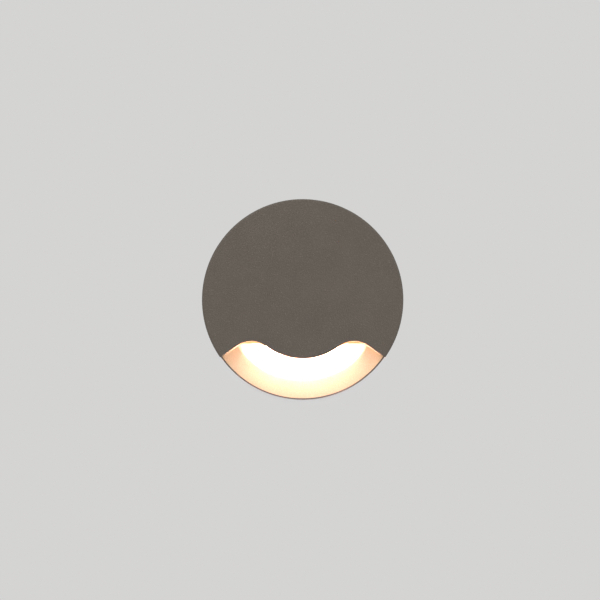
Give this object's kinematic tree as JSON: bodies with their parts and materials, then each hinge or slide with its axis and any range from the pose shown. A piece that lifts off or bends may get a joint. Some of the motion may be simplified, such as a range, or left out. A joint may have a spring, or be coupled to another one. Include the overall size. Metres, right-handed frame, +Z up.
{
  "type": "recessed wall light",
  "caption": "Round recessed wall light whose face has a crescent cut-out that throws light down the wall, with sprung clips, a driver can and a rear cable gland.",
  "frame": {"origin": "centre of the round flange, on the wall plane", "axes": "+Y into the wall, +X right as seen from the room, +Z up"},
  "size_m": [0.08, 0.0698, 0.08],
  "materials": {
    "face_paint": "fine textured powder coat, warm grey",
    "casting_paint": "satin powder coat on die casting, grey",
    "scoop_coat": "pale warm fine textured coat",
    "foam_black": "closed-cell foam",
    "rubber_black": "matt moulded rubber",
    "silicone_white": "silicone",
    "silicone_grey": "silicone heat pad",
    "bare_aluminium": "milled",
    "board_white": "white solder mask",
    "phosphor": "yellow phosphor",
    "lens_opal": "opal diffuser, lit warm white",
    "wire_red": "insulated wire",
    "wire_black": "insulated wire",
    "wire_green": "green insulation with a yellow stripe",
    "liner_white": "moulded insulator",
    "board_green": "green solder mask",
    "ferrite": "sintered, dark grey",
    "tape_yellow": "polyester tape",
    "cap_sleeve": "shrink sleeve, dark",
    "fuse_body": "moulded body with metal ends",
    "chip_black": "moulded epoxy",
    "terminal_plastic": "moulded nylon",
    "brass": "plated brass",
    "tin_plate": "tin plated",
    "gland_plastic": "moulded nylon, dark grey",
    "stainless": "stainless",
    "zinc_plate": "zinc plated sheet",
    "spring_steel": "stainless spring strip and wire",
    "sleeve_rubber": "soft silicone sleeve"
  },
  "bodies": {
    "root": {"board_screws": "stainless", "bracket_rivets": "stainless", "bracket_screws": "stainless", "can_screws": "stainless", "can_seal": "rubber_black", "chassis": "casting_paint", "clip_bracket_left": "zinc_plate", "clip_bracket_right": "zinc_plate", "clip_pin_left": "stainless", "clip_pin_right": "stainless", "clip_spring_left": "spring_steel", "clip_spring_right": "spring_steel", "cover_screws": "stainless", "cover_seal": "rubber_black", "driver_board": "board_green", "driver_can": "casting_paint", "driver_capacitors": "cap_sleeve", "driver_chips": "chip_black", "driver_choke": "ferrite", "driver_fuse": "fuse_body", "driver_liner": "liner_white", "driver_screws": "stainless", "earth_lead": "wire_green", "earth_lug": "tin_plate", "earth_screw": "stainless", "earth_washer": "brass", "face_cap": "face_paint", "face_screws": "stainless", "gland_body": "gland_plastic", "gland_bush": "rubber_black", "gland_locknut": "gland_plastic", "gland_nut": "gland_plastic", "gland_seal": "rubber_black", "lead_grommet": "rubber_black", "led_board": "board_white", "led_bracket": "bare_aluminium", "led_chips": "phosphor", "led_lead_black": "wire_black", "led_lead_red": "wire_red", "led_lens": "lens_opal", "lens_gasket": "silicone_white", "light_scoop": "scoop_coat", "rear_cover": "casting_paint", "terminal_block": "terminal_plastic", "terminal_clamps": "brass", "terminal_screws": "stainless", "thermal_pad": "silicone_grey", "transformer_core": "ferrite", "transformer_winding": "tape_yellow", "wall_gasket": "foam_black"},
    "clip_left": {"clip_arm_left": "spring_steel", "clip_sleeve_left": "sleeve_rubber"},
    "clip_right": {"clip_arm_right": "spring_steel", "clip_sleeve_right": "sleeve_rubber"}
  },
  "joints": [
    {"name": "clip_right_hinge", "type": "hinge", "parent": "root", "child": "clip_right", "pos_m": [0.0284, 0.039, 0], "axis": [0, 0, 1], "range_deg": [-17, 0], "stiffness_Nm_per_rad": 0.09, "springref_deg": 20.05, "deforming": ["clip_spring_right"]},
    {"name": "clip_left_hinge", "type": "hinge", "parent": "root", "child": "clip_left", "pos_m": [-0.0284, 0.039, 0], "axis": [0, 0, -1], "range_deg": [-17, 0], "stiffness_Nm_per_rad": 0.09, "springref_deg": 20.05, "deforming": ["clip_spring_left"]}
  ]
}
